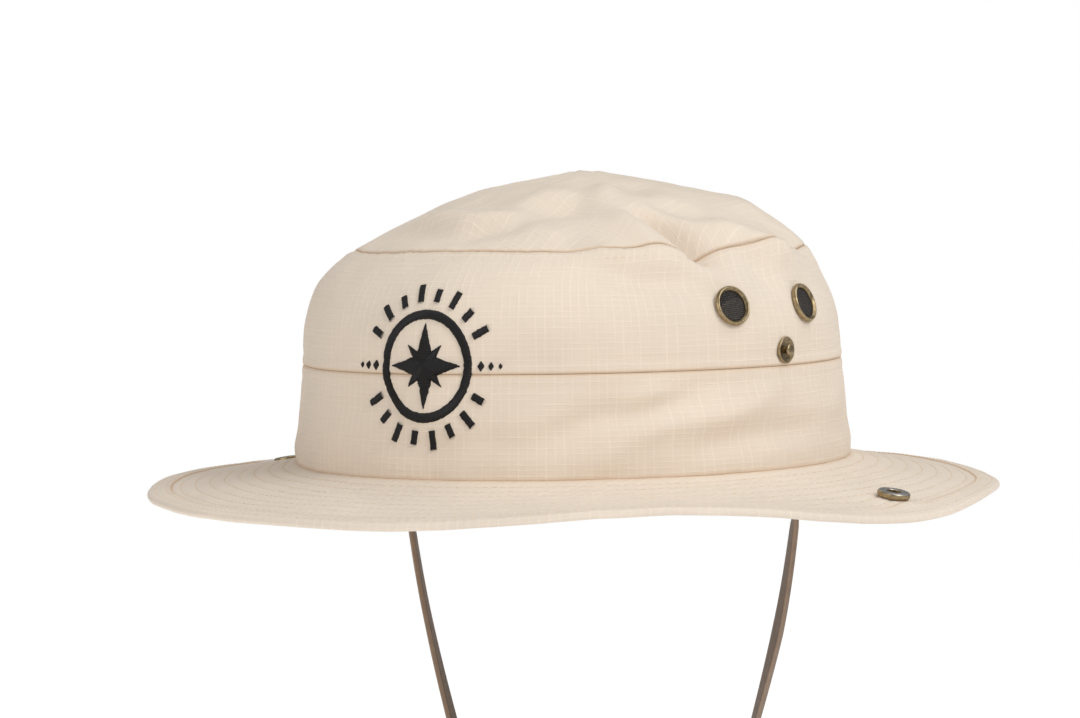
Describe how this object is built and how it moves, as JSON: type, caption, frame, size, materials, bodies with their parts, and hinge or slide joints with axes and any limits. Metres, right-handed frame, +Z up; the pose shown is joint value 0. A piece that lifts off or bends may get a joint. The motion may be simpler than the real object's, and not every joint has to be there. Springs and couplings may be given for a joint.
{
  "type": "boonie hat",
  "caption": "Soft cotton sun hat with a two-band domed crown, stitched brim that snaps up at the sides, mesh vents and a flat chin strap with a sliding lock.",
  "frame": {"origin": "centre of the head opening, at the seam where the brim's top meets the crown", "axes": "+Z up, -Y the hat's front, +X the wearer's left"},
  "size_m": [0.2846, 0.3026, 0.4118],
  "materials": {
    "crown_cloth": "cotton ripstop, matt",
    "brim_cloth": "cotton ripstop, matt, stitched in rings",
    "seam_tape": "woven tape",
    "sweatband_cloth": "soft cotton twill",
    "interlining": "stiff non-woven",
    "embroidery_thread": "satin stitch",
    "antique_brass": "darkened, satin",
    "vent_mesh": "fine dark mesh",
    "spring_steel": "bright",
    "strap_webbing": "flat woven strap",
    "lock_plastic": "matt",
    "label_cloth": "printed satin, blank"
  },
  "bodies": {
    "root": {"brim_seam_binding": "seam_tape", "care_label": "label_cloth", "crown_lower_band": "crown_cloth", "crown_top_panel": "crown_cloth", "crown_upper_band": "crown_cloth", "emblem_backing": "interlining", "front_brim_edge_binding": "brim_cloth", "front_brim_interlining": "interlining", "front_brim_lower_ply": "brim_cloth", "front_brim_upper_ply": "brim_cloth", "front_emblem": "embroidery_thread", "left_front_vent_eyelet": "antique_brass", "left_front_vent_mesh": "vent_mesh", "left_front_vent_washer": "antique_brass", "left_rear_vent_eyelet": "antique_brass", "left_rear_vent_mesh": "vent_mesh", "left_rear_vent_washer": "antique_brass", "left_snap_stud": "antique_brass", "left_strap_tab": "strap_webbing", "left_stud_back": "antique_brass", "mid_seam_tape": "seam_tape", "rear_brim_edge_binding": "brim_cloth", "rear_brim_interlining": "interlining", "rear_brim_lower_ply": "brim_cloth", "rear_brim_upper_ply": "brim_cloth", "right_front_vent_eyelet": "antique_brass", "right_front_vent_mesh": "vent_mesh", "right_front_vent_washer": "antique_brass", "right_rear_vent_eyelet": "antique_brass", "right_rear_vent_mesh": "vent_mesh", "right_rear_vent_washer": "antique_brass", "right_snap_stud": "antique_brass", "right_strap_tab": "strap_webbing", "right_stud_back": "antique_brass", "size_label": "label_cloth", "sweatband": "sweatband_cloth", "top_seam_tape": "seam_tape"},
    "left_brim_side": {"left_brim_upper_ply": "brim_cloth", "left_brim_interlining": "interlining", "left_brim_lower_ply": "brim_cloth", "left_brim_edge_binding": "brim_cloth", "left_snap_socket": "antique_brass", "left_socket_spring": "spring_steel", "left_socket_cap": "antique_brass"},
    "right_brim_side": {"right_brim_upper_ply": "brim_cloth", "right_brim_interlining": "interlining", "right_brim_lower_ply": "brim_cloth", "right_brim_edge_binding": "brim_cloth", "right_snap_socket": "antique_brass", "right_socket_spring": "spring_steel", "right_socket_cap": "antique_brass"},
    "chin_strap": {"left_chin_strap": "strap_webbing", "right_chin_strap": "strap_webbing", "strap_end_keeper": "strap_webbing"},
    "cord_lock": {"cord_lock_barrel": "lock_plastic", "cord_lock_spring": "spring_steel"},
    "lock_button": {"cord_lock_button": "lock_plastic"}
  },
  "joints": [
    {"name": "left_brim_fold", "type": "hinge", "parent": "root", "child": "left_brim_side", "pos_m": [0.0915, 0, -0.00034], "axis": [0, -1, 0], "range_deg": [0, 100]},
    {"name": "right_brim_fold", "type": "hinge", "parent": "root", "child": "right_brim_side", "pos_m": [-0.0915, 0, -0.00034], "axis": [0, 1, 0], "range_deg": [0, 100]},
    {"name": "chin_strap_swing", "type": "hinge", "parent": "root", "child": "chin_strap", "pos_m": [0, 0.009, -0.0015], "axis": [1, 0, 0], "range_deg": [-60, 60]},
    {"name": "cord_lock_slide", "type": "slide", "parent": "chin_strap", "child": "cord_lock", "axis": [0, 0, -1], "range_m": [-0.01, 0.022]},
    {"name": "lock_button_press", "type": "slide", "parent": "cord_lock", "child": "lock_button", "axis": [0, 1, 0], "range_m": [0, 0.0035], "stiffness_N_per_m": 400, "springref_m": -0.004, "deforming": ["cord_lock_spring"]}
  ]
}
